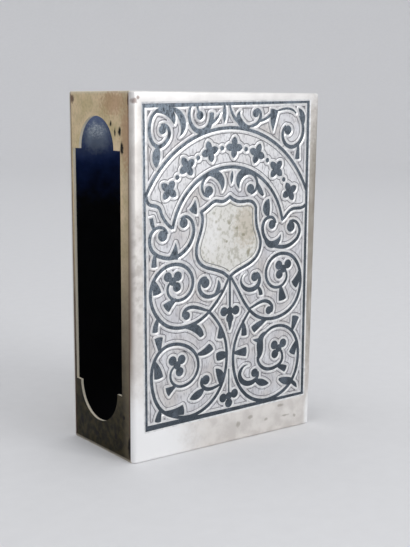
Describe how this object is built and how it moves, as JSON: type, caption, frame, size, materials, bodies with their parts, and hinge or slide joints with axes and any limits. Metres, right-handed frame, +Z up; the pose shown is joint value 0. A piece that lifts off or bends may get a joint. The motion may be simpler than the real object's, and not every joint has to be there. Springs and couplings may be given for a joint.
{
  "type": "matchbox holder",
  "caption": "Antique silver slip-case for a matchbox: a flat upright tube of soldered sheet, open at both ends, with niello scrollwork in front and arched striker windows in the narrow sides.",
  "frame": {"origin": "middle of the footprint, on the surface that the case stands on", "axes": "+Z up along the case's length, +X to the right as the ornament is seen, +Y from the ornamented front towards the plain back"},
  "size_m": [0.0392, 0.0196, 0.06],
  "materials": {
    "silver_front": "worn silver, finely scratched",
    "silver_back": "worn silver, lightly tarnished",
    "silver_walls": "silver with warm tarnish",
    "solder": "dull grey solder",
    "niello": "blue-black, filed flush"
  },
  "bodies": {
    "root": {"back_plate": "silver_back", "front_plate": "silver_front", "left_wall": "silver_walls", "niello_arch": "niello", "niello_band_flowers": "niello", "niello_border": "niello", "niello_centre_stem": "niello", "niello_corner_scroll_left": "niello", "niello_corner_scroll_right": "niello", "niello_crest_scroll_left": "niello", "niello_crest_scroll_right": "niello", "niello_lower_vine_left": "niello", "niello_lower_vine_right": "niello", "niello_shield": "niello", "niello_shoulder_scroll_left": "niello", "niello_shoulder_scroll_right": "niello", "niello_upper_vine_left": "niello", "niello_upper_vine_right": "niello", "right_wall": "silver_walls", "solder_back_left": "solder", "solder_back_right": "solder", "solder_front_left": "solder", "solder_front_right": "solder"}
  },
  "joints": []
}
